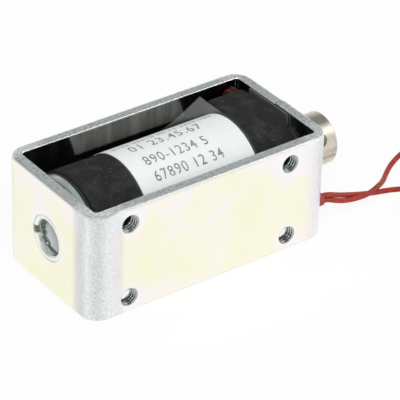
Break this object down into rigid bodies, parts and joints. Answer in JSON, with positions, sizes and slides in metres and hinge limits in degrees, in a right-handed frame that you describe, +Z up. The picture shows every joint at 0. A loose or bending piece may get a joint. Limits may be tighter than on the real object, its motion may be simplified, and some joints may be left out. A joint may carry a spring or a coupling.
{
  "type": "push pull solenoid",
  "caption": "Open box frame solenoid: a taped coil in a bent steel strip, a sliding plunger with a cross hole and a push rod, and two leads.",
  "frame": {"origin": "on the surface that the frame's lower rim stands on, under the middle of frame and plunger", "axes": "+X along the coil axis, out of the plunger's end; +Z up, out of the frame's open upper side"},
  "size_m": [0.1283, 0.0537, 0.03],
  "materials": {
    "zinc_steel": "pale iridescent zinc passivate",
    "plated_core": "plated, turned",
    "bronze": "sintered, oiled",
    "zinc_disc": "zinc plated",
    "brass_tube": "drawn, plain",
    "black_nylon": "moulded",
    "copper_wire": "enamelled",
    "film_wrap": "film",
    "black_cloth_tape": "woven, matt",
    "white_label": "printed paper",
    "clear_film": "clear, glossy",
    "fibre_board": "pressed fibre",
    "clear_plastic": "polyester",
    "nickel_steel": "nickel plated, turned",
    "stainless_rod": "ground",
    "red_sleeve": "soft plastic",
    "red_lead": "insulated wire",
    "solder_joint": "tinned",
    "tie_plastic": "plastic tie"
  },
  "bodies": {
    "solenoid": {"frame": "zinc_steel", "fixed_core": "plated_core", "rod_guide_bush": "bronze", "core_washer": "zinc_disc", "guide_tube": "brass_tube", "bobbin": "black_nylon", "winding": "copper_wire", "insulation_wrap": "film_wrap", "cloth_tape": "black_cloth_tape", "label": "white_label", "clear_film": "clear_film", "front_flux_washer": "zinc_disc", "end_insulator": "fibre_board", "lead_sleeve": "red_sleeve", "inner_lead_a": "red_lead", "splice_a": "solder_joint", "magnet_wire_a": "copper_wire", "inner_lead_b": "red_lead", "splice_b": "solder_joint", "magnet_wire_b": "copper_wire", "lead_a": "red_lead", "lead_a_coil": "red_lead", "lead_a_tail": "red_lead", "lead_a_tip": "solder_joint", "lead_a_tie": "tie_plastic", "lead_b": "red_lead", "lead_b_coil": "red_lead", "lead_b_tail": "red_lead", "lead_b_tip": "solder_joint", "lead_b_tie": "tie_plastic"},
    "slider": {"stop_washer": "clear_plastic"},
    "plunger": {"plunger": "nickel_steel", "push_rod": "stainless_rod"}
  },
  "joints": [
    {"name": "plunger_slide", "type": "slide", "parent": "solenoid", "child": "slider", "axis": [1, 0, 0], "range_m": [-0.005, 0.01]},
    {"name": "plunger_turn", "type": "hinge", "parent": "slider", "child": "plunger", "pos_m": [0, 0, 0.015], "axis": [1, 0, 0], "continuous": true}
  ]
}
